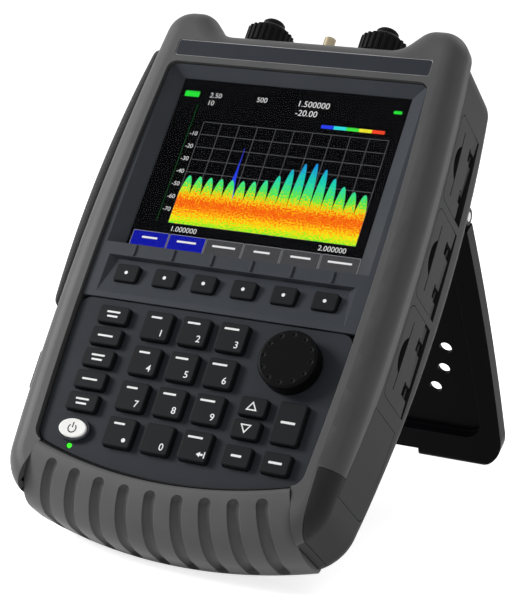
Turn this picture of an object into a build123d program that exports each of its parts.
import os
from math import asin, atan2, cos, degrees, hypot, radians, sin, sqrt

from build123d import *

os.makedirs("parts", exist_ok=True)

# Every piece is drawn with the case upright, in millimetres: X to the right, Y into the case
# from the plane of the front panel, Z up. The finished pieces are leaned back on the stand.

# Case form
case_height = 292.0
side_bow = 7.5
widest_height = 150.0
bow_radius = 270.0
bumper_drop = 2.5
bottom_corner = 26.0
rail_proud = 2.0
front_round = 11.0
rear_round = 11.5
back_depth = 68.0
back_radius = 900.0
back_fullest = 195.0
wall = 3.5
face_depth = 4.0
fit_gap = 0.3

# Horns at the two top corners, and the brow and deck between them
brow_height = 279.0
rear_horn_height = 285.0
rear_deck_height = 276.0
horn_inside = 62.5
horn_foot_inside = 50.5
horn_corner = 14.5
horn_inner_round = 12.5
horn_foot_round = 12.0

# Seam between the front and the rear cover
seam_depth = 14.5
seam_low_depth = 8.5
seam_low_height = 44.0
seam_bend_height = 100.0
seam_bend_depth = 12.4
seam_bend_middle = 72.0

# Ribbed bumper along the bottom edge
bumper_lip_height = 28.4
bumper_proud = 3.0
bumper_front_radius = 28.0
bumper_back_depth = 48.0
bumper_back_height = 24.0
heel_radius = 12.0
bumper_wall = 5.0
bumper_span = 32.6
lip_round = 2.5
groove_count = 9
groove_pitch = 3.3
groove_radius = 3.4
groove_lift = 1.0
groove_top_height = 20.0
groove_end_depth = 34.0

# Corner guards
guard_height = 50.0
guard_width = 13.0
guard_foot = 13.0
guard_foot_width = 22.0
guard_wall = 4.0

# Front panels
bezel_margin = 12.2
rail_width = 14.7
panel_half_height = 155.0
panel_top = 257.5
panel_top_inset = 3.2
panel_top_corner = 5.0
panel_bottom = 28.6
panel_bottom_inset = 4.2
panel_bottom_corner = 8.0
panel_gap = 0.5
panel_back = 5.0
panel_lip = 2.0
keypad_face = 1.0
keypad_gap = 1.0
keypad_corner = 6.0
keypad_lip_low = 40.0

# Screen and the bezel around it
screen_width = 129.2
screen_low = 151.0
screen_high = 251.0
bezel_slope_side = 8.2
bezel_slope_top = 5.6
bezel_slope_low = 1.5
window_margin = 3.0
window_thickness = 1.5
lcd_margin = 9.0
lcd_low_margin = 6.0
lcd_top_margin = 6.5
lcd_thickness = 8.0
lcd_corner = 3.0
lcd_plate = 6.0

# Softkey trough
trough_width = 137.0
trough_low = 121.5
trough_high = 142.5
trough_depth = 3.2
trough_floor = 1.2
trough_lip = 0.8
trough_end = 4.0
pointer_width = 1.2
pointer_low = 143.0
pointer_high = 149.2
pointer_proud = 0.8

# Title strip recess in the brow
title_width = 144.6
title_low = 261.0
title_high = 270.8
title_depth = 0.6
title_corner = 1.5

# Keys
key_gap = 0.4
key_travel = 1.2
key_flange = 0.7
flange_thickness = 1.2
key_corner = 1.6
key_edge = 0.7
seat_gap = 0.1
softkey_count = 6
softkey_pitch = 22.0
softkey_height = 133.0
softkey_size = (13.0, 9.5)
softkey_face = -0.8
function_count = 5
function_x = -53.0
function_first = 109.0
function_pitch = 11.95
function_size = (17.0, 9.2)
function_face = -2.3
pad_x = -27.4
pad_first = 106.5
pad_pitch_x = 20.8
pad_rows = 4
pad_columns = 3
pad_pitch_z = 19.15
pad_size = (15.5, 15.0)
pad_face = -2.5
arrow_x = 36.6
arrow_down_height = 61.8
arrow_size = (14.5, 9.4)
tall_x = 57.0
tall_height = 68.2
tall_size = (14.5, 21.0)
small_height = 47.8
small_size = (14.5, 10.4)
power_x = -53.0
power_height = 47.0
power_size = (15.5, 10.0)
power_face = -2.2
power_ring_wall = 1.3
power_ring_face = -1.3
led_x = -53.2
led_height = 38.8
led_radius = 1.2
led_face = 0.6

# Keypad mat and front board
mat_thickness = 1.4
board_thickness = 1.6
board_low = 42.0
board_high = 140.0
post_radius = 2.5
post_inset = 8.6
board_inset = 5.3
post_low = 55.0
post_high = 112.0

# Knob and its encoder
knob_x = 48.8
knob_height = 98.0
knob_radius = 15.2
knob_clear_low = 4.6
knob_clear_high = 5.3
knob_face = -8.0
knob_gap = 0.4
knob_edge = 1.6
dimple_count = 12
dimple_radius = 1.7
dimple_ring = 12.4
dimple_sink = 0.5
shaft_radius = 3.0
shaft_gap = 0.08
bushing_radius = 4.6
bushing_face = 1.6
shaft_end = 15.5
encoder_size = 13.0
encoder_depth = 6.5

# Connector plate and its ports
plate_half = 46.5
plate_front = 6.9
plate_back = 41.0
plate_thickness = 1.6
plate_ledge = 4.0
plate_gap = 0.4
port_x = 33.0
port_depth = 20.0
port_radius = 7.9
port_length = 13.0
port_bore = 5.2
port_bore_depth = 10.0
port_shank = 7.0
port_pin_radius = 1.2
port_pin_drop = 3.0
nut_thickness = 3.5
port_nut_radius = 11.0
tail_length = 12.0
tail_radius = 4.0
shank_gap = 0.1
gps_x = 2.0
gps_radius = 3.1
gps_length = 15.0
gps_nut_radius = 4.6
gps_bore = 2.3
gps_bore_depth = 3.0
gps_shank = 2.6
gps_nut = 2.5
gps_tail = 5.0
cap_radius = 12.8
cap_gap = 0.35
cap_rest = 0.2
cap_skirt = 8.2
cap_step_radius = 9.4
cap_shoulder = 1.6
cap_step = 4.5
cap_top_radius = 6.0
cap_top = 9.0
cap_chamfer = 0.8
cap_notches = 24
cap_notch_radius = 0.9

# Boards and modules inside
main_board_depth = 21.5
main_board_inset = 18.5
main_board_low = 93.0
main_board_high = 248.0
stake_x = 68.0
stake_low = 105.0
stake_high = 240.0
stake_radius = 3.2
stake_tip = 1.5
stake_gap = 0.1
module_half = 60.0
module_low = 150.0
module_high = 262.0
module_thickness = 22.0
module_lid_inset = 4.0
module_lid = 2.0

# Case screws and the bosses they pull together
boss_radius = 4.5
boss_low_inset = 8.7
boss_low = 95.5
boss_high_inset = 17.0
boss_high = 268.0
boss_gap = 0.2
screw_radius = 1.5
screw_gap = 0.2
thread_gap = 0.05
screw_head_radius = 3.5
screw_head = 2.5
screw_seat = 56.0
screw_tip = 9.0
screw_hole_end = 7.0

# Battery, its bay and its door
battery_left = -58.0
battery_inset = 9.0
battery_front = 24.2
battery_back = 44.0
battery_low = 43.0
battery_high = 86.0
battery_round = 4.0
bay_gap = 0.4
bay_wall = 2.6
door_low = 41.0
door_high = 89.0
door_back = 46.0
door_low_corner = 6.0
door_cut_inset = 22.0
thumb_depth = 30.5
thumb_height = 68.0
thumb_radius = 9.0
thumb_sphere = 40.0
tongue_length = 18.0
tongue_width = 7.0
tongue_thickness = 1.8
tongue_height = 87.6
tongue_front = 28.0
tongue_back = 39.0

# Side doors
side_door_count = 3
side_door_pitch = 53.5
side_door_first = 229.0
side_door_height = 48.5
side_door_front = 17.0
hinge_depth = 47.0
barrel_radius = 2.0
barrel_gap = 0.4
hinge_sink = 2.1
door_inner = 1.0
side_door_corner = 5.0
scoop_depth = 27.0
scoop_length = 36.0
scoop_slit = 0.9
scoop_middle = 20.0
scoop_width = 6.6
scoop_sink = 1.9
notch_spacing = 24.0
notch_height = 7.0
notch_depth = 9.0
hinge_trim = 6.2
pin_radius = 0.9
pin_gap = 0.1
pin_end = 1.8
frame_inset = 10.5
frame_front = 15.5
frame_back = 51.5
frame_margin = 5.0
window_ledge = 3.5
socket_gap = 1.6
socket_wall = 2.0

# Stand
hinge_height = 223.0
hinge_radius = 4.5
stand_gap = 0.6
stand_thickness = 8.0
stand_drop = 167.5
stand_open = 66.1
stand_top_half = 84.5
stand_foot_half = 90.0
stand_corner = 20.0
stand_rim_side = 12.0
stand_rim_low = 20.0
stand_rim_top = 14.0
stand_skin = 2.6
stand_notch_half = 38.0
stand_notch = 6.5
stand_top_gap = 7.0
stand_web = 9.0
hole_ring = 59.6
hole_ring_drop = 92.4
hole_radius = 3.6
hole_first = 2.6
hole_pitch = 14.6
hole_count = 3
rod_radius = 2.5
rod_gap = 0.1
knuckle_inner = 30.0
knuckle_outer = 80.0
knuckle_end = 85.0
knuckle_gap = 0.5
flat_depth = 0.4

# Hand strap on the left side
strap_gap = 0.4
strap_front = 9.0
strap_back = 51.0
strap_thickness = 6.5
strap_crown = 3.5
strap_high = 271.0
strap_pad_low = 114.0
strap_web_front = 15.0
strap_web_back = 43.0
strap_web = 2.4
strap_fold_low = 68.0
strap_fold_high = 92.0
strap_fold = 8.5
strap_low = 39.0
strap_end_high = 50.0
strap_end = 5.5
strap_round = 2.5
stud_radius = 6.0
stud_height = 2.0
stud_depth = 29.0
stud_high = 256.0
stud_low = 80.0

# Positions that follow from the sizes above
panel_half = screen_width / 2 + bezel_margin
panel_top_half = panel_half - panel_top_inset
panel_bottom_half = panel_half - panel_bottom_inset
half_width = panel_half + rail_width
case_width = 2 * half_width
panel_split = knob_height + knob_radius + knob_clear_high
arrow_up_height = knob_height - knob_radius - knob_clear_low - arrow_size[1] / 2
board_half = panel_half - board_inset
post_x = panel_half - post_inset
main_board_half = half_width - main_board_inset
battery_right = half_width - battery_inset
frame_inside = half_width - frame_inset
side_reach = max(case_height - widest_height, widest_height)
side_radius = (side_reach**2 + side_bow**2) / (2 * side_bow)
bow_axis = Axis((0, 0, bow_radius), (0, 1, 0))
back_centre = back_depth - back_radius
mat_depth = panel_back + seat_gap + flange_thickness + key_travel + seat_gap
board_depth = mat_depth + mat_thickness
hinge_y = back_centre + sqrt(back_radius**2 - (hinge_height - back_fullest) ** 2) + stand_gap + hinge_radius
hinge_axis = Axis((0, hinge_y, hinge_height), (1, 0, 0))


def side_x(height):
    """Half the case's width at a height."""
    return half_width - side_radius + sqrt(side_radius**2 - (height - widest_height) ** 2)


def back_y(height):
    """Depth of the case's back at a height."""
    return back_centre + sqrt(back_radius**2 - (height - back_fullest) ** 2)


def bow_z(radius, x):
    """Height at x of an arc about the bumper's axis."""
    return bow_radius - sqrt(radius**2 - x**2)


# The floor touches the round of the bumper's heel and the round of the stand's foot
heel_y = bumper_back_depth - heel_radius
foot_round = stand_thickness / 2
foot_middle = back_radius + stand_gap + foot_round
foot_z = hinge_height - stand_drop
foot_y = back_centre + sqrt(foot_middle**2 - (back_fullest - foot_z) ** 2)
swing = radians(stand_open)
open_y = hinge_y + (foot_y - hinge_y) * cos(swing) + stand_drop * sin(swing)
open_z = hinge_height + (foot_y - hinge_y) * sin(swing) - stand_drop * cos(swing)
foot_distance = hypot(open_y - heel_y, open_z - heel_radius)
lean = atan2(open_z - heel_radius, open_y - heel_y) + asin((heel_radius - foot_round) / foot_distance)
heel_reach = heel_radius - flat_depth
rest_y = heel_y + heel_reach * sin(lean)
rest_z = heel_radius - heel_reach * cos(lean)
floor = Plane(origin=(0, rest_y, rest_z), x_dir=(1, 0, 0), z_dir=(0, -sin(lean), cos(lean)))
standing = Rot(-degrees(lean), 0, 0) * Pos(0, -rest_y, -rest_z)


def write(piece, name):
    """Label a finished piece, lean it back with the case and write it."""
    piece.label = name
    export_step(standing * piece, f"parts/{name}.step")


def case_outline(horn_top, brow_top, inset=0.0):
    """Front view of the case: bowed bottom, bulging sides, a horn at each top corner."""
    corner = bow_z(bow_radius - bumper_drop, half_width - side_bow)
    corner_x = side_x(corner)
    top_x = side_x(horn_top)
    with BuildSketch(Plane.XZ) as outline:
        with BuildLine():
            ThreePointArc((-corner_x, corner), (0, bumper_drop), (corner_x, corner))
            ThreePointArc((corner_x, corner), (half_width, widest_height), (top_x, horn_top))
            Polyline(
                (top_x, horn_top),
                (horn_inside, horn_top),
                (horn_foot_inside, brow_top),
                (-horn_foot_inside, brow_top),
                (-horn_inside, horn_top),
                (-top_x, horn_top),
            )
            ThreePointArc((-top_x, horn_top), (-half_width, widest_height), (-corner_x, corner))
        make_face()
        corners = outline.vertices().group_by(Axis.Y)
        fillet(corners[0], bottom_corner)
        fillet(outline.vertices().group_by(Axis.Y)[-1].sort_by(Axis.X)[0::3], horn_corner)
        tops = outline.vertices().group_by(Axis.Y)[-1].sort_by(Axis.X)
        fillet([tops[1], tops[-2]], horn_inner_round)
        feet = [v for v in outline.vertices() if abs(v.Y - brow_top) < wall and abs(v.X) < horn_inside]
        fillet(sorted(feet, key=lambda v: abs(abs(v.X) - horn_foot_inside))[:2], horn_foot_round)
        if inset:
            offset(amount=-inset)
    return outline.sketch


def panel_face(clearance, low, high, top_corner):
    """Front view of a panel between two heights, inside the window of the front cover."""
    bottom = panel_bottom + clearance
    bottom_half = panel_bottom_half - clearance
    middle_half = panel_half - clearance
    top = panel_top - clearance
    top_half = panel_top_half - clearance
    corner = bow_z(bow_radius - bottom, bottom_half)
    with BuildSketch(Plane.XZ) as panel:
        with BuildLine():
            ThreePointArc((-bottom_half, corner), (0, bottom), (bottom_half, corner))
            ThreePointArc((bottom_half, corner), (middle_half, panel_half_height), (top_half, top))
            Line((top_half, top), (-top_half, top))
            ThreePointArc((-top_half, top), (-middle_half, panel_half_height), (-bottom_half, corner))
        make_face()
        fillet(panel.vertices().group_by(Axis.Y)[0], panel_bottom_corner - clearance)
        fillet(panel.vertices().group_by(Axis.Y)[-1], panel_top_corner - clearance)
        with Locations((0, (low + high) / 2)):
            Rectangle(case_width, high - low, mode=Mode.INTERSECT)
        if top_corner:
            fillet(panel.vertices().group_by(Axis.Y)[-1], top_corner)
    return panel.sketch


def at_depth(sketch, depth):
    """A front-view sketch moved back to a depth."""
    return sketch.moved(Location((0, depth, 0)))


# The rear part of the outer form, with its barrel back
with BuildPart() as rear_form:
    rear_outline = at_depth(case_outline(rear_horn_height, rear_deck_height), seam_depth)
    extrude(to_extrude=rear_outline, amount=-back_depth)
    with BuildSketch(Plane.YZ):
        with Locations((back_centre, back_fullest)):
            Circle(back_radius)
    extrude(amount=case_width, both=True, mode=Mode.INTERSECT)
    fillet(rear_form.faces().sort_by(Axis.Y)[-1].edges(), rear_round)

# The whole outer form, from which covers, guards and doors are cut
with BuildPart() as case_form:
    front_outline = at_depth(case_outline(case_height, brow_height), -rail_proud)
    extrude(to_extrude=front_outline, amount=-seam_depth - rail_proud)
    fillet(case_form.faces().sort_by(Axis.Y)[0].edges(), front_round)
    add(rear_form.part)

# The hollow inside it
with BuildPart() as cavity:
    cavity_outline = at_depth(case_outline(rear_horn_height, rear_deck_height, wall), face_depth)
    extrude(to_extrude=cavity_outline, amount=-back_depth)
    with BuildSketch(Plane.YZ):
        with Locations((back_centre, back_fullest)):
            Circle(back_radius - wall)
    extrude(amount=case_width, both=True, mode=Mode.INTERSECT)

# What lies in front of the seam
with BuildPart() as front_zone:
    with BuildSketch(Plane.YZ):
        with BuildLine():
            seam_start = (seam_low_depth, seam_low_height)
            seam_end = (seam_depth, seam_bend_height)
            ThreePointArc(seam_start, (seam_bend_depth, seam_bend_middle), seam_end)
            Polyline(
                seam_end,
                (seam_depth, 2 * case_height),
                (-back_depth, 2 * case_height),
                (-back_depth, -case_height),
                (seam_low_depth, -case_height),
                seam_start,
            )
        make_face()
    extrude(amount=case_width, both=True)


def bumper_block(grow, top):
    """The bumper's section, grown outwards and upwards, turned about the axis of the bowed bottom."""
    turn = bumper_span / 2 + degrees(max(grow, 0) / bow_radius)
    front_y = bumper_front_radius - bumper_proud
    front = -bumper_proud - grow
    back = bumper_back_depth + grow
    with BuildPart() as block:
        with BuildSketch(Plane.YZ):
            with BuildLine():
                RadiusArc((front, bumper_front_radius), (front_y, -grow), -bumper_front_radius - grow)
                Line((front_y, -grow), (heel_y, -grow))
                RadiusArc((heel_y, -grow), (back, heel_radius), -heel_radius - grow)
                Polyline(
                    (back, heel_radius),
                    (back, bumper_back_height + top),
                    (front, bumper_lip_height + top),
                    (front, bumper_front_radius),
                )
            make_face()
        revolve(axis=bow_axis, revolution_arc=2 * turn)
    return block.part.rotate(bow_axis, -turn)


# One groove between two ribs of the bumper
with BuildPart() as groove:
    groove_reach = bumper_front_radius + groove_lift
    groove_y = bumper_front_radius - bumper_proud
    groove_start = groove_y - sqrt(groove_reach**2 - (bumper_front_radius - groove_top_height) ** 2)
    with BuildLine() as groove_path:
        bend = RadiusArc(
            (groove_start, groove_top_height), (groove_y, -groove_lift), -groove_reach, mode=Mode.PRIVATE
        )
        add(Plane.YZ * bend)
        Line((0, groove_y, -groove_lift), (0, groove_end_depth, -groove_lift))
    with BuildSketch(Plane(groove_path.line @ 0, z_dir=groove_path.line % 0)):
        Circle(groove_radius)
    sweep()
    with Locations(groove_path.line @ 0, groove_path.line @ 1):
        Sphere(groove_radius)

# Rubber bumper: a ribbed channel along the bottom edge, flat where its heel meets the floor
with BuildPart() as bottom_bumper:
    add(bumper_block(0, 0))
    fillet(bottom_bumper.edges().filter_by(GeomType.CIRCLE).sort_by(Axis.Y)[0], lip_round)
    add(bumper_block(-bumper_wall, bow_radius / 2), mode=Mode.SUBTRACT)
    for step in range(groove_count):
        turn = groove_pitch * (step - (groove_count - 1) / 2)
        add(groove.part.rotate(bow_axis, turn), mode=Mode.SUBTRACT)
    split(bisect_by=floor, keep=Keep.TOP)
write(bottom_bumper.part, "bottom_bumper")

# Everything in front of and below the bumper, left out of the covers and guards
with BuildPart() as bumper_zone:
    with BuildSketch(Plane.YZ):
        with BuildLine():
            zone_back = bumper_back_depth + fit_gap
            Polyline(
                (zone_back, -back_depth),
                (zone_back, bumper_back_height + fit_gap),
                (-bumper_proud, bumper_lip_height + fit_gap),
                (-back_depth, bumper_lip_height + fit_gap),
                (-back_depth, -back_depth),
                close=True,
            )
        make_face()
    zone_turn = bumper_span / 2 + degrees(fit_gap / bow_radius)
    revolve(axis=bow_axis, revolution_arc=2 * zone_turn)
bumper_zone.part = bumper_zone.part.rotate(bow_axis, -zone_turn)


def guard_block(grow):
    """Space of the two corner guards, of which the left one stays behind the seam."""
    with BuildPart() as block:
        with BuildSketch(Plane.XZ):
            with Locations((-half_width, 0)):
                Rectangle(2 * (guard_width + grow), 2 * (guard_height + grow))
        extrude(amount=case_height, both=True)
        add(front_zone.part.moved(Location((0, fit_gap - grow, 0))), mode=Mode.SUBTRACT)
        with BuildSketch(Plane.XZ):
            with Locations((half_width, 0)):
                Rectangle(2 * (guard_width + grow), 2 * (guard_height + grow))
                Rectangle(2 * (guard_foot_width + grow), 2 * (guard_foot + grow))
        extrude(amount=case_height, both=True)
    return block.part


def battery_block(grow):
    """Space of the battery door in the right side, behind the seam."""
    with BuildPart() as block:
        with BuildSketch(Plane.YZ.offset(half_width - door_cut_inset)) as door:
            with Locations((door_back / 2, (door_low + door_high) / 2)):
                Rectangle(door_back + 2 * grow, door_high - door_low + 2 * grow)
            fillet(door.vertices().group_by(Axis.Y)[0].sort_by(Axis.X)[-1], door_low_corner)
        extrude(amount=half_width)
        add(front_zone.part.moved(Location((0, fit_gap - grow, 0))), mode=Mode.SUBTRACT)
    return block.part


# Opening for the connector plate: a recess for its rim over a smaller opening
with BuildPart() as plate_slot:
    plate_y = (plate_front + plate_back) / 2
    plate_depth = plate_back - plate_front
    with BuildSketch(Plane.XY.offset(rear_deck_height - plate_thickness)):
        with Locations((0, plate_y)):
            Rectangle(2 * (plate_half + plate_gap), plate_depth + 2 * plate_gap)
    extrude(amount=case_height)
    with BuildSketch(Plane.XY.offset(rear_deck_height)):
        with Locations((0, plate_y)):
            Rectangle(2 * (plate_half - plate_ledge), plate_depth - 2 * plate_ledge)
    extrude(amount=-2 * wall)


bosses = ((half_width - boss_low_inset, boss_low), (half_width - boss_high_inset, boss_high))
boss_points = [(side * x, z) for side in (-1, 1) for x, z in bosses]

# Front cover: the grey frame with its rails, horns and brow
with BuildPart() as front_cover:
    add(case_form.part)
    add(front_zone.part, mode=Mode.INTERSECT)
    add(cavity.part, mode=Mode.SUBTRACT)
    with BuildSketch(Plane.XZ.offset(-face_depth)):
        with Locations(*boss_points):
            Circle(boss_radius)
    extrude(amount=face_depth - seam_depth)
    with BuildSketch(Plane.XZ.offset(-screw_hole_end)):
        with Locations(*boss_points):
            Circle(screw_radius + thread_gap)
    extrude(amount=-seam_depth, mode=Mode.SUBTRACT)
    window = at_depth(panel_face(0, 0, case_height, 0), face_depth)
    extrude(to_extrude=window, amount=case_height, mode=Mode.SUBTRACT)
    with BuildSketch(Plane.XZ.offset(rail_proud - title_depth)):
        with Locations((0, (title_low + title_high) / 2)):
            RectangleRounded(title_width, title_high - title_low, title_corner)
    extrude(amount=case_height, mode=Mode.SUBTRACT)
    add(plate_slot.part, mode=Mode.SUBTRACT)
    add(bumper_zone.part, mode=Mode.SUBTRACT)
    add(guard_block(fit_gap), mode=Mode.SUBTRACT)
write(front_cover.part, "front_cover")

# Rubber guards round the two lower corners
with BuildPart() as guard_hollow:
    hollow_outline = at_depth(case_outline(rear_horn_height, rear_deck_height, guard_wall), face_depth)
    extrude(to_extrude=hollow_outline, amount=-back_depth)
    with BuildSketch(Plane.YZ):
        with Locations((back_centre, back_fullest)):
            Circle(back_radius - guard_wall)
    extrude(amount=case_width, both=True, mode=Mode.INTERSECT)

with BuildPart() as corner_guards:
    add(case_form.part)
    add(guard_block(0), mode=Mode.INTERSECT)
    add(guard_hollow.part, mode=Mode.SUBTRACT)
    add(battery_block(fit_gap), mode=Mode.SUBTRACT)
    add(bumper_zone.part, mode=Mode.SUBTRACT)
    split(bisect_by=floor, keep=Keep.TOP)
write(corner_guards.part, "corner_guards")


class SideDoor:
    """Places of one of the doors down the right side."""

    def __init__(self, index):
        self.middle = side_door_first - index * side_door_pitch
        self.low = self.middle - side_door_height / 2
        self.high = self.middle + side_door_height / 2
        self.face_x = min(side_x(self.low), side_x(self.high))
        self.hinge_x = self.face_x - hinge_sink
        self.inner_x = self.hinge_x - door_inner


side_doors = [SideDoor(index) for index in range(side_door_count)]
window_front = side_door_front + window_ledge
window_back = hinge_depth - barrel_radius - window_ledge
window_height = side_door_height - 2 * window_ledge
stake_points = [(x, z) for x in (-stake_x, stake_x) for z in (stake_low, stake_high)]

# Ribs inside the rear cover: door frame, battery bay, screw bosses and board stakes
with BuildPart() as cover_ribs:
    with BuildSketch(Plane.YZ.offset(frame_inside)):
        frame_low = side_doors[-1].low - frame_margin
        frame_high = side_doors[0].high + frame_margin
        with Locations(((frame_front + frame_back) / 2, (frame_low + frame_high) / 2)):
            Rectangle(frame_back - frame_front, frame_high - frame_low)
    extrude(amount=half_width - wall / 2 - frame_inside)
    with BuildSketch(Plane.XZ.offset(-battery_front)):
        bay_left = battery_left - bay_gap
        bay_height = battery_high - battery_low + 2 * bay_gap
        with Locations(((bay_left + battery_right) / 2, (battery_low + battery_high) / 2)):
            Rectangle(battery_right - bay_left + 2 * bay_wall, bay_height + 2 * bay_wall)
            Rectangle(battery_right - bay_left, bay_height, mode=Mode.SUBTRACT)
        with Locations((battery_right + bay_wall, (battery_low + battery_high) / 2)):
            Rectangle(4 * bay_wall, bay_height, mode=Mode.SUBTRACT)
    extrude(amount=-back_depth)
    with BuildSketch(Plane.XZ.offset(-seam_depth - boss_gap)):
        with Locations(*boss_points):
            Circle(boss_radius)
    extrude(amount=-back_depth)
    with BuildSketch(Plane.XZ.offset(-main_board_depth - board_thickness)):
        with Locations(*stake_points):
            Circle(stake_radius)
    extrude(amount=-back_depth)
    with BuildSketch(Plane.XZ.offset(-main_board_depth)):
        with Locations(*stake_points):
            Circle(stake_tip)
    extrude(amount=-back_depth)
    add(case_form.part, mode=Mode.INTERSECT)

# Rear cover: the dark shell with door openings, stand knuckles and strap studs
with BuildPart() as rear_cover:
    add(case_form.part)
    add(front_zone.part, mode=Mode.SUBTRACT)
    add(cavity.part, mode=Mode.SUBTRACT)
    add(cover_ribs.part)
    for door in side_doors:
        with BuildSketch(Plane.YZ.offset(door.inner_x - fit_gap)) as pocket:
            with Locations(((side_door_front + hinge_depth) / 2, door.middle)):
                Rectangle(hinge_depth - side_door_front + 2 * fit_gap, side_door_height + 2 * fit_gap)
            fillet(pocket.vertices().group_by(Axis.X)[0], side_door_corner)
        extrude(amount=half_width, mode=Mode.SUBTRACT)
        with BuildSketch(Plane.XY.offset(door.low - fit_gap)):
            with Locations((door.hinge_x, hinge_depth)):
                Circle(barrel_radius + barrel_gap)
            with Locations((door.hinge_x + half_width / 2, hinge_depth)):
                Rectangle(half_width, 2 * (barrel_radius + barrel_gap))
        extrude(amount=side_door_height + 2 * fit_gap, mode=Mode.SUBTRACT)
        with BuildSketch(Plane.XY.offset(door.low - fit_gap - pin_end)):
            with Locations((door.hinge_x, hinge_depth)):
                Circle(pin_radius)
        extrude(amount=side_door_height + 2 * (fit_gap + pin_end), mode=Mode.SUBTRACT)
        with BuildSketch(Plane.YZ.offset(frame_inside - wall)):
            with Locations(((window_front + window_back) / 2, door.middle)):
                Rectangle(window_back - window_front, window_height)
        extrude(amount=half_width, mode=Mode.SUBTRACT)
    add(battery_block(fit_gap), mode=Mode.SUBTRACT)
    add(plate_slot.part, mode=Mode.SUBTRACT)
    add(bumper_zone.part, mode=Mode.SUBTRACT)
    add(guard_block(fit_gap), mode=Mode.SUBTRACT)
    with BuildSketch(Plane.XZ):
        with Locations(*boss_points):
            Circle(screw_radius + screw_gap)
    extrude(amount=-case_height, mode=Mode.SUBTRACT)
    with BuildSketch(Plane.XZ.offset(-screw_seat)):
        with Locations(*boss_points):
            Circle(screw_head_radius + fit_gap)
    extrude(amount=-case_height, mode=Mode.SUBTRACT)
    knuckles = (
        (-knuckle_end, -knuckle_outer - knuckle_gap),
        (-knuckle_inner + knuckle_gap, knuckle_inner - knuckle_gap),
        (knuckle_outer + knuckle_gap, knuckle_end),
    )
    web_y = back_y(hinge_height) - wall / 2
    for left, right in knuckles:
        with BuildSketch(Plane.YZ.offset(left)):
            with Locations((hinge_y, hinge_height)):
                Circle(hinge_radius)
            with Locations(((web_y + hinge_y) / 2, hinge_height)):
                Rectangle(hinge_y - web_y, 2 * hinge_radius)
        extrude(amount=right - left)
    with BuildSketch(Plane.YZ.offset(-knuckle_end)):
        with Locations((hinge_y, hinge_height)):
            Circle(rod_radius)
    extrude(amount=2 * knuckle_end, mode=Mode.SUBTRACT)
    for stud_z in (stud_low, stud_high):
        with BuildSketch(Plane.YZ.offset(-side_x(stud_z) - stud_height)):
            with Locations((stud_depth, stud_z)):
                Circle(stud_radius)
        extrude(amount=stud_height + wall / 2)
write(rear_cover.part, "rear_cover")

# Case screws, driven from the back through both covers
with BuildPart() as case_screws:
    with BuildSketch(Plane.XZ.offset(-screw_seat)):
        with Locations(*boss_points):
            Circle(screw_head_radius)
    extrude(amount=-screw_head)
    with BuildSketch(Plane.XZ.offset(-screw_seat)):
        with Locations(*boss_points):
            Circle(screw_radius)
    extrude(amount=screw_seat - screw_tip)
write(case_screws.part, "case_screws")

softkeys = [
    ((index - (softkey_count - 1) / 2) * softkey_pitch, softkey_height) for index in range(softkey_count)
]

# Display bezel: a mitred slope down to the screen, and a trough for the softkeys
with BuildPart() as display_bezel:
    bezel_lip = at_depth(panel_face(-panel_lip, panel_split, case_height, 0), panel_back)
    extrude(to_extrude=bezel_lip, amount=panel_back - face_depth)
    bezel_face = at_depth(panel_face(panel_gap, panel_split, case_height, 0), panel_back)
    extrude(to_extrude=bezel_face, amount=panel_back)
    with BuildSketch(Plane.XZ):
        mouth_low = screen_low - bezel_slope_low
        mouth_high = screen_high + bezel_slope_top
        with Locations((0, (mouth_low + mouth_high) / 2)):
            Rectangle(screen_width + 2 * bezel_slope_side, mouth_high - mouth_low)
    with BuildSketch(Plane.XZ.offset(-panel_back)):
        with Locations((0, (screen_low + screen_high) / 2)):
            Rectangle(screen_width, screen_high - screen_low)
    loft(mode=Mode.SUBTRACT)
    with BuildSketch(Plane.XZ):
        with Locations((0, (trough_low + trough_high) / 2)):
            Rectangle(trough_width, trough_high - trough_low)
    with BuildSketch(Plane.XZ.offset(-trough_depth)):
        with Locations((0, trough_high - trough_lip - trough_floor / 2)):
            Rectangle(trough_width - 2 * trough_end, trough_floor)
    loft(mode=Mode.SUBTRACT)
    with BuildSketch(Plane.XZ.offset(-trough_depth / 2)):
        for x, _ in softkeys:
            with Locations((x, (pointer_low + pointer_high) / 2)):
                SlotOverall(pointer_high - pointer_low, pointer_width, rotation=90)
    extrude(amount=trough_depth / 2 + pointer_proud)
    with BuildSketch(Plane.XZ.offset(-panel_back)):
        with Locations(*softkeys):
            RectangleRounded(*(side + 2 * key_gap for side in softkey_size), key_corner + key_gap)
    extrude(amount=case_height, mode=Mode.SUBTRACT)
write(display_bezel.part, "display_bezel")

# Window over the screen, and the display module behind it
with BuildPart() as display_window:
    with BuildSketch(Plane.XZ.offset(-panel_back)):
        with Locations((0, (screen_low + screen_high) / 2)):
            window_size = (screen_width + 2 * window_margin, screen_high - screen_low + 2 * window_margin)
            RectangleRounded(*window_size, window_margin)
    extrude(amount=-window_thickness)
write(display_window.part, "display_window")

with BuildPart() as lcd_module:
    with BuildSketch(Plane.XZ.offset(-panel_back - window_thickness)):
        lcd_low = screen_low - lcd_low_margin
        lcd_high = screen_high + lcd_top_margin
        with Locations((0, (lcd_low + lcd_high) / 2)):
            Rectangle(screen_width + 2 * lcd_margin, lcd_high - lcd_low)
    extrude(amount=-lcd_thickness)
    fillet(lcd_module.edges().filter_by(Axis.Y), lcd_corner)
    with BuildSketch(Plane.XZ.offset(-panel_back - window_thickness - lcd_thickness)):
        with Locations((0, (lcd_low + lcd_high) / 2)):
            Rectangle(screen_width - 2 * lcd_margin, lcd_high - lcd_low - 4 * lcd_margin)
    extrude(amount=lcd_thickness - lcd_plate, mode=Mode.SUBTRACT)
write(lcd_module.part, "lcd_module")

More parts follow.
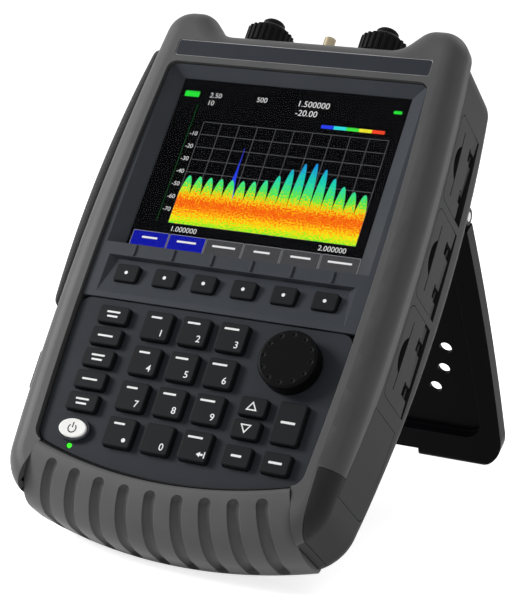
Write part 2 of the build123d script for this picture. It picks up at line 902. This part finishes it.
functions = [(function_x, function_first - index * function_pitch) for index in range(function_count)]
numbers = [
    (pad_x + column * pad_pitch_x, pad_first - row * pad_pitch_z)
    for row in range(pad_rows)
    for column in range(pad_columns)
]
arrows = [(arrow_x, arrow_up_height), (arrow_x, arrow_down_height)]
smalls = [(arrow_x, small_height), (tall_x, small_height)]
key_groups = (
    (functions, function_size),
    (numbers, pad_size),
    (arrows, arrow_size),
    ([(tall_x, tall_height)], tall_size),
    (smalls, small_size),
)
post_points = [(x, z) for x in (-post_x, post_x) for z in (post_low, post_high)]

# Keypad panel: recessed plate with a hole for every key and posts for the board behind
with BuildPart() as keypad_panel:
    keypad_top = panel_split - panel_gap
    keypad_lip = at_depth(panel_face(-panel_lip, keypad_lip_low, keypad_top, 0), panel_back)
    extrude(to_extrude=keypad_lip, amount=panel_back - face_depth)
    keypad_plate = at_depth(panel_face(keypad_gap, 0, keypad_top, keypad_corner), panel_back)
    extrude(to_extrude=keypad_plate, amount=panel_back - keypad_face)
    with BuildSketch(Plane.XZ.offset(-panel_back)):
        with Locations((power_x, power_height)):
            Ellipse(power_size[0] / 2 + power_ring_wall, power_size[1] / 2 + power_ring_wall)
    extrude(amount=panel_back - power_ring_face)
    with BuildSketch(Plane.XZ.offset(-panel_back)):
        with Locations((power_x, power_height)):
            Ellipse(power_size[0] / 2 + key_gap, power_size[1] / 2 + key_gap)
        for places, size in key_groups:
            with Locations(*places):
                RectangleRounded(size[0] + 2 * key_gap, size[1] + 2 * key_gap, key_corner + key_gap)
        with Locations((led_x, led_height)):
            Circle(led_radius + key_gap)
        with Locations((knob_x, knob_height)):
            Circle(bushing_radius + key_gap)
    extrude(amount=case_height, mode=Mode.SUBTRACT)
    with BuildSketch(Plane.XZ.offset(-panel_back)):
        with Locations(*post_points):
            Circle(post_radius)
    extrude(amount=panel_back - board_depth)
write(keypad_panel.part, "keypad_panel")


def key(place, size, face):
    """A key: a cap with softened edges, and the flange that keeps it behind its panel."""
    with BuildPart() as cap:
        with BuildSketch(Plane.XZ.offset(-panel_back - seat_gap)):
            with Locations(place):
                RectangleRounded(*size, key_corner)
        extrude(amount=panel_back + seat_gap - face)
        fillet(cap.faces().sort_by(Axis.Y)[0].edges(), key_edge)
        with BuildSketch(Plane.XZ.offset(-panel_back - seat_gap)):
            with Locations(place):
                RectangleRounded(*(side + 2 * key_flange for side in size), key_corner + key_flange)
        extrude(amount=-flange_thickness)
    return cap.part


for index, place in enumerate(softkeys):
    write(key(place, softkey_size, softkey_face), f"softkey_{index + 1}")
for index, place in enumerate(functions):
    write(key(place, function_size, function_face), f"function_key_{index + 1}")
number_names = [f"number_key_{digit}" for digit in range(1, 10)]
number_names += ["point_key", "number_key_0", "enter_key"]
for name, place in zip(number_names, numbers):
    write(key(place, pad_size, pad_face), name)
for name, place in zip(("up_key", "down_key"), arrows):
    write(key(place, arrow_size, pad_face), name)
for name, place in zip(("cancel_key", "shift_key"), smalls):
    write(key(place, small_size, pad_face), name)
write(key((tall_x, tall_height), tall_size, pad_face), "back_key")

# Oval power key in its ring
with BuildPart() as power_key:
    with BuildSketch(Plane.XZ.offset(-panel_back - seat_gap)):
        with Locations((power_x, power_height)):
            Ellipse(power_size[0] / 2, power_size[1] / 2)
    extrude(amount=panel_back + seat_gap - power_face)
    fillet(power_key.faces().sort_by(Axis.Y)[0].edges(), key_edge)
    with BuildSketch(Plane.XZ.offset(-panel_back - seat_gap)):
        with Locations((power_x, power_height)):
            Ellipse(power_size[0] / 2 + key_flange, power_size[1] / 2 + key_flange)
    extrude(amount=-flange_thickness)
write(power_key.part, "power_key")

# Rubber contact mat and the front board, held on the panel's posts
with BuildPart() as keypad_mat:
    with BuildSketch(Plane.XZ.offset(-mat_depth)):
        with Locations((0, (board_low + board_high) / 2)):
            RectangleRounded(2 * board_half, board_high - board_low, key_corner)
        with Locations(*post_points):
            Circle(post_radius + fit_gap, mode=Mode.SUBTRACT)
        with Locations((led_x, led_height)):
            Circle(led_radius + fit_gap, mode=Mode.SUBTRACT)
        with Locations((knob_x, knob_height)):
            Circle(bushing_radius + fit_gap, mode=Mode.SUBTRACT)
    extrude(amount=-mat_thickness)
write(keypad_mat.part, "keypad_mat")

with BuildPart() as front_board:
    with BuildSketch(Plane.XZ.offset(-board_depth)):
        with Locations((0, (board_low + board_high) / 2)):
            RectangleRounded(2 * board_half, board_high - board_low, key_corner)
        with Locations((knob_x, knob_height)):
            Circle(bushing_radius + fit_gap, mode=Mode.SUBTRACT)
    extrude(amount=-board_thickness)
write(front_board.part, "front_board")

# Status lamp standing on the front board
with BuildPart() as status_led:
    with BuildSketch(Plane.XZ.offset(-board_depth)):
        with Locations((led_x, led_height)):
            Circle(led_radius)
    extrude(amount=board_depth - led_face)
    fillet(status_led.faces().sort_by(Axis.Y)[0].edges(), led_radius / 2)
write(status_led.part, "status_led")

# Rotary encoder behind the front board, and the knob on its shaft
with BuildPart() as encoder:
    with BuildSketch(Plane.XZ.offset(-board_depth - board_thickness)):
        with Locations((knob_x, knob_height)):
            Rectangle(encoder_size, encoder_size)
    extrude(amount=-encoder_depth)
    with BuildSketch(Plane.XZ.offset(-board_depth - board_thickness)):
        with Locations((knob_x, knob_height)):
            Circle(bushing_radius)
    extrude(amount=board_depth + board_thickness - bushing_face)
    with BuildSketch(Plane.XZ):
        with Locations((knob_x, knob_height)):
            Circle(shaft_radius + shaft_gap)
    extrude(amount=-shaft_end - knob_gap, mode=Mode.SUBTRACT)
write(encoder.part, "encoder")

with BuildPart() as knob:
    with BuildSketch(Plane.XZ.offset(knob_gap - keypad_face)):
        with Locations((knob_x, knob_height)):
            Circle(knob_radius)
    extrude(amount=keypad_face - knob_gap - knob_face)
    fillet(knob.faces().sort_by(Axis.Y)[0].edges(), knob_edge)
    with Locations((knob_x, knob_face - dimple_radius + dimple_sink, knob_height)):
        with Locations(Plane.XZ):
            with PolarLocations(dimple_ring, dimple_count):
                Sphere(dimple_radius, mode=Mode.SUBTRACT)
    with BuildSketch(Plane.XZ.offset(knob_gap - keypad_face)):
        with Locations((knob_x, knob_height)):
            Circle(shaft_radius)
    extrude(amount=keypad_face - knob_gap - shaft_end)
write(knob.part, "knob")

ports = [(-port_x, port_depth), (port_x, port_depth)]
plate_under = rear_deck_height - plate_thickness

# Connector plate in the top, let into both covers
with BuildPart() as connector_plate:
    with BuildSketch(Plane.XY.offset(plate_under)):
        with Locations((0, plate_y)):
            RectangleRounded(2 * plate_half, plate_depth, plate_ledge / 2)
        with Locations(*ports):
            Circle(port_shank + shank_gap, mode=Mode.SUBTRACT)
        with Locations((gps_x, port_depth)):
            Circle(gps_shank + shank_gap, mode=Mode.SUBTRACT)
    extrude(amount=plate_thickness)
write(connector_plate.part, "connector_plate")

# The two coaxial ports: nut, threaded barrel with its socket, and tail
with BuildPart() as port_connectors:
    with BuildSketch(Plane.XY.offset(rear_deck_height)):
        with Locations(*ports):
            RegularPolygon(port_nut_radius, 6)
    extrude(amount=nut_thickness)
    with BuildSketch(Plane.XY.offset(rear_deck_height)):
        with Locations(*ports):
            Circle(port_radius)
    extrude(amount=port_length)
    with BuildSketch(Plane.XY.offset(rear_deck_height)):
        with Locations(*ports):
            Circle(port_shank)
    extrude(amount=-plate_thickness)
    with BuildSketch(Plane.XY.offset(plate_under)):
        with Locations(*ports):
            Circle(tail_radius)
    extrude(amount=-tail_length)
    with BuildSketch(Plane.XY.offset(rear_deck_height + port_length)):
        with Locations(*ports):
            Circle(port_bore)
    extrude(amount=-port_bore_depth, mode=Mode.SUBTRACT)
    with BuildSketch(Plane.XY.offset(rear_deck_height + port_length - port_bore_depth)):
        with Locations(*ports):
            Circle(port_pin_radius)
    extrude(amount=port_bore_depth - port_pin_drop)
write(port_connectors.part, "port_connectors")

# Small antenna socket between them
with BuildPart() as antenna_connector:
    with BuildSketch(Plane.XY.offset(rear_deck_height)):
        with Locations((gps_x, port_depth)):
            RegularPolygon(gps_nut_radius, 6)
    extrude(amount=gps_nut)
    with BuildSketch(Plane.XY.offset(rear_deck_height)):
        with Locations((gps_x, port_depth)):
            Circle(gps_radius)
    extrude(amount=gps_length)
    with BuildSketch(Plane.XY.offset(rear_deck_height)):
        with Locations((gps_x, port_depth)):
            Circle(gps_shank)
    extrude(amount=-plate_thickness - gps_tail)
    with BuildSketch(Plane.XY.offset(rear_deck_height + gps_length)):
        with Locations((gps_x, port_depth)):
            Circle(gps_bore)
    extrude(amount=-gps_bore_depth, mode=Mode.SUBTRACT)
write(antenna_connector.part, "antenna_connector")


def dust_cap(place):
    """A stepped cap with a knurled skirt, pushed over a port."""
    rim = rear_deck_height + port_length + cap_rest
    with BuildPart() as cap:
        with BuildSketch(Plane.XY.offset(rim - cap_skirt)):
            with Locations(place):
                Circle(cap_radius)
                with PolarLocations(cap_radius, cap_notches):
                    Circle(cap_notch_radius, mode=Mode.SUBTRACT)
        extrude(amount=cap_skirt + cap_shoulder)
        with BuildSketch(Plane.XY.offset(rim)):
            with Locations(place):
                Circle(cap_step_radius)
        extrude(amount=cap_step)
        chamfer(cap.faces().sort_by(Axis.Z)[-1].edges(), cap_chamfer)
        with BuildSketch(Plane.XY.offset(rim)):
            with Locations(place):
                Circle(cap_top_radius)
        extrude(amount=cap_top)
        chamfer(cap.faces().sort_by(Axis.Z)[-1].edges(), cap_chamfer)
        with BuildSketch(Plane.XY.offset(rim)):
            with Locations(place):
                Circle(port_radius + cap_gap)
        extrude(amount=-case_height, mode=Mode.SUBTRACT)
    return cap.part


for name, place in zip(("dust_cap_left", "dust_cap_right"), ports):
    write(dust_cap(place), name)

# Main board on its stakes, with the radio module on its back
with BuildPart() as main_board:
    with BuildSketch(Plane.XZ.offset(-main_board_depth)):
        with Locations((0, (main_board_low + main_board_high) / 2)):
            RectangleRounded(2 * main_board_half, main_board_high - main_board_low, key_corner)
        with Locations(*stake_points):
            Circle(stake_tip + stake_gap, mode=Mode.SUBTRACT)
    extrude(amount=-board_thickness)
write(main_board.part, "main_board")

with BuildPart() as rf_module:
    with BuildSketch(Plane.XZ.offset(-main_board_depth - board_thickness)):
        with Locations((0, (module_low + module_high) / 2)):
            Rectangle(2 * module_half, module_high - module_low)
    extrude(amount=-module_thickness)
    fillet(rf_module.edges().filter_by(Axis.Y), key_corner)
    with BuildSketch(Plane.XZ.offset(-main_board_depth - board_thickness - module_thickness)):
        with Locations((0, (module_low + module_high) / 2)):
            lid_inset = 2 * module_lid_inset
            Rectangle(2 * module_half - lid_inset, module_high - module_low - lid_inset)
    extrude(amount=-module_lid)
write(rf_module.part, "rf_module")

# Battery pack in its bay
with BuildPart() as battery_pack:
    with BuildSketch(Plane.YZ.offset(battery_left)):
        with Locations(((battery_front + battery_back) / 2, (battery_low + battery_high) / 2)):
            RectangleRounded(battery_back - battery_front, battery_high - battery_low, battery_round)
    extrude(amount=battery_right - battery_left)
write(battery_pack.part, "battery_pack")

# Battery door: a piece of the right side that slides off, with a round thumb grip
with BuildPart() as battery_door:
    add(case_form.part)
    add(battery_block(0), mode=Mode.INTERSECT)
    add(cavity.part, mode=Mode.SUBTRACT)
    grip_x = side_x(thumb_height) + sqrt(thumb_sphere**2 - thumb_radius**2)
    with Locations((grip_x, thumb_depth, thumb_height)):
        Sphere(thumb_sphere, mode=Mode.SUBTRACT)
    with BuildSketch(Plane.YZ.offset(side_x(tongue_height) - wall / 2)):
        with Locations((tongue_front, tongue_height), (tongue_back, tongue_height)):
            Rectangle(tongue_width, tongue_thickness)
    extrude(amount=-tongue_length)
write(battery_door.part, "battery_door")


def side_door(door):
    """A door in the right side with its hinge barrel, hinge notches and finger scoop."""
    with BuildPart() as leaf:
        with BuildSketch(Plane.YZ.offset(door.inner_x)) as outline:
            with Locations(((side_door_front + hinge_depth) / 2, door.middle)):
                Rectangle(hinge_depth - side_door_front, side_door_height)
            fillet(outline.vertices().group_by(Axis.X)[0], side_door_corner)
        extrude(amount=half_width)
        add(case_form.part, mode=Mode.INTERSECT)
        with BuildSketch(Plane.XY.offset(door.low)):
            with Locations((door.hinge_x, hinge_depth)):
                Circle(barrel_radius)
        extrude(amount=side_door_height)
        with BuildSketch(Plane.XY.offset(door.low)):
            with Locations((door.hinge_x, hinge_depth)):
                Circle(pin_radius + pin_gap)
        extrude(amount=side_door_height, mode=Mode.SUBTRACT)
        with BuildSketch(Plane.YZ.offset(door.inner_x)):
            for side in (-1, 1):
                with Locations((hinge_depth, door.middle + side * notch_spacing / 2)):
                    Rectangle(2 * notch_depth, notch_height)
        extrude(amount=half_width, both=True, mode=Mode.SUBTRACT)
        with BuildSketch(Plane.YZ.offset(door.hinge_x + barrel_radius)):
            with Locations((hinge_depth, door.middle)):
                Rectangle(2 * hinge_trim, side_door_height)
        extrude(amount=half_width, mode=Mode.SUBTRACT)
        with BuildSketch(Plane.YZ.offset(door.face_x - scoop_sink)):
            with BuildLine():
                low_end = (scoop_depth, door.middle - scoop_middle / 2)
                high_end = (scoop_depth, door.middle + scoop_middle / 2)
                ThreePointArc(low_end, (scoop_depth - scoop_width, door.middle), high_end)
                Line(high_end, low_end)
            make_face()
            with Locations((scoop_depth - scoop_slit / 2, door.middle)):
                Rectangle(scoop_slit, scoop_length)
        extrude(amount=half_width, mode=Mode.SUBTRACT)
    return leaf.part


for name, door in zip(("upper_side_door", "middle_side_door", "lower_side_door"), side_doors):
    write(side_door(door), name)

# Pins the side doors turn on, pressed into the rear cover
with BuildPart() as door_hinge_pins:
    for door in side_doors:
        with BuildSketch(Plane.XY.offset(door.low - fit_gap - pin_end)):
            with Locations((door.hinge_x, hinge_depth)):
                Circle(pin_radius)
        extrude(amount=side_door_height + 2 * (fit_gap + pin_end))
write(door_hinge_pins.part, "door_hinge_pins")

# Socket blocks behind the side doors, each with two sockets
with BuildPart() as side_sockets:
    for door in side_doors:
        with BuildSketch(Plane.YZ.offset(frame_inside)):
            with Locations(((window_front + window_back) / 2, door.middle)):
                Rectangle(window_back - window_front, window_height)
        extrude(amount=door.inner_x - socket_gap - frame_inside)
        with BuildSketch(Plane.YZ.offset(frame_inside + socket_wall)):
            with Locations(((window_front + window_back) / 2, door.middle)):
                with GridLocations(0, window_height / 2, 1, 2):
                    opening_width = window_back - window_front - 4 * socket_wall
                    Rectangle(opening_width, window_height / 2 - 3 * socket_wall)
        extrude(amount=half_width, mode=Mode.SUBTRACT)
write(side_sockets.part, "side_sockets")

stand_inner = back_radius + stand_gap
stand_outer = stand_inner + stand_thickness
stand_top = hinge_height - stand_top_gap
foot_end = foot_z - foot_round


def stand_face(inset, top, low, corner):
    """Front view of the folded stand, flaring to rounded lower corners."""
    with BuildSketch(Plane.XZ) as face:
        with BuildLine():
            Polyline(
                (-stand_top_half + inset, top),
                (stand_top_half - inset, top),
                (stand_foot_half - inset, low),
                (-stand_foot_half + inset, low),
                close=True,
            )
        make_face()
        fillet(face.vertices().group_by(Axis.Y)[0], corner)
    return face.sketch


# The recess in the stand's inner face
with BuildPart() as tray_recess:
    recess_low = foot_end + stand_rim_low
    recess = stand_face(stand_rim_side, stand_top - stand_rim_top, recess_low, stand_corner / 2)
    extrude(to_extrude=recess, amount=-2 * back_depth)
    with BuildSketch(Plane.YZ):
        with Locations((back_centre, back_fullest)):
            Circle(stand_outer - stand_skin)
    extrude(amount=case_width, both=True, mode=Mode.INTERSECT)

# The stand folded flat: a curved tray with a raised rim, grip holes and two hinge barrels
with BuildPart() as folded_stand:
    with BuildSketch(Plane.YZ):
        with BuildLine():
            top_in = back_centre + sqrt(stand_inner**2 - (stand_top - back_fullest) ** 2)
            top_out = back_centre + sqrt(stand_outer**2 - (stand_top - back_fullest) ** 2)
            foot_turn = asin((back_fullest - foot_z) / foot_middle)
            foot_along = cos(foot_turn)
            foot_below = sin(foot_turn)
            low_in = (back_centre + stand_inner * foot_along, back_fullest - stand_inner * foot_below)
            low_out = (back_centre + stand_outer * foot_along, back_fullest - stand_outer * foot_below)
            toe = (foot_y - foot_round * sin(foot_turn), foot_z - foot_round * cos(foot_turn))
            ThreePointArc((top_in, stand_top), (back_centre + stand_inner, back_fullest), low_in)
            ThreePointArc(low_in, toe, low_out)
            ThreePointArc(low_out, (back_centre + stand_outer, back_fullest), (top_out, stand_top))
            Line((top_out, stand_top), (top_in, stand_top))
        make_face()
    extrude(amount=case_width, both=True)
    stand_outline = stand_face(0, stand_top, foot_end, stand_corner)
    extrude(to_extrude=stand_outline, amount=-2 * back_depth, mode=Mode.INTERSECT)
    with BuildSketch(Plane.XZ):
        with Locations((0, foot_end)):
            Rectangle(2 * stand_notch_half, 2 * stand_notch)
    extrude(amount=-2 * back_depth, mode=Mode.SUBTRACT)
    add(tray_recess.part, mode=Mode.SUBTRACT)
    for left, right in ((-knuckle_outer, -knuckle_inner), (knuckle_inner, knuckle_outer)):
        with BuildSketch(Plane.YZ.offset(left)):
            with Locations((hinge_y, hinge_height)):
                Circle(hinge_radius)
            with Locations((hinge_y, hinge_height - stand_web / 2)):
                Rectangle(stand_thickness - 2 * stand_gap, stand_web)
        extrude(amount=right - left)
    with BuildSketch(Plane.YZ.offset(-half_width)):
        with Locations((hinge_y, hinge_height)):
            Circle(rod_radius + rod_gap)
    extrude(amount=case_width, mode=Mode.SUBTRACT)
    with BuildSketch(Plane.XZ):
        for side in (-1, 1):
            for index in range(hole_count):
                angle = radians(hole_first + index * hole_pitch)
                hole_z = hinge_height - hole_ring_drop - hole_ring * sin(angle)
                with Locations((side * hole_ring * cos(angle), hole_z)):
                    Circle(hole_radius)
    extrude(amount=-2 * back_depth, mode=Mode.SUBTRACT)

# The stand swung out, its feet cut flat on the floor
with BuildPart() as stand:
    add(folded_stand.part.rotate(hinge_axis, stand_open))
    split(bisect_by=floor, keep=Keep.TOP)
write(stand.part, "stand")

# Rod the stand turns on
with BuildPart() as stand_pin:
    with BuildSketch(Plane.YZ.offset(-knuckle_end)):
        with Locations((hinge_y, hinge_height)):
            Circle(rod_radius)
    extrude(amount=2 * knuckle_end)
write(stand_pin.part, "stand_pin")


def strap_band(front, back, low, high, thickness, crown=0.0):
    """A length of the strap lying along the bulging left side, thicker in its middle by its crown."""
    with BuildPart() as band:
        with BuildSketch(Plane.XZ.offset(-front)):
            with BuildLine():
                middle = (low + high) / 2
                inner = [(-side_x(z) - strap_gap, z) for z in (low, middle, high)]
                outer = [(x - thickness, z) for x, z in reversed(inner)]
                outer[1] = (outer[1][0] - crown, middle)
                ThreePointArc(*inner)
                Line(inner[-1], outer[0])
                ThreePointArc(*outer)
                Line(outer[-1], inner[0])
            make_face()
        extrude(amount=front - back)
        if thickness > 2 * strap_round:
            fillet(band.faces().sort_by(Axis.X)[0].edges(), strap_round)
    return band.part


# Hand strap: padded grip on a webbing loop over two studs
with BuildPart() as hand_strap:
    add(strap_band(strap_front, strap_back, strap_pad_low, strap_high, strap_thickness, strap_crown))
    add(strap_band(strap_web_front, strap_web_back, strap_low, strap_pad_low + strap_thickness, strap_web))
    add(strap_band(strap_web_front, strap_web_back, strap_fold_low, strap_fold_high, strap_fold))
    add(strap_band(strap_web_front, strap_web_back, strap_low, strap_end_high, strap_end))
    for stud_z in (stud_low, stud_high):
        with BuildSketch(Plane.YZ.offset(-side_x(stud_z) - stud_height - strap_gap)):
            with Locations((stud_depth, stud_z)):
                Circle(stud_radius + strap_gap)
        extrude(amount=half_width, mode=Mode.SUBTRACT)
write(hand_strap.part, "hand_strap")
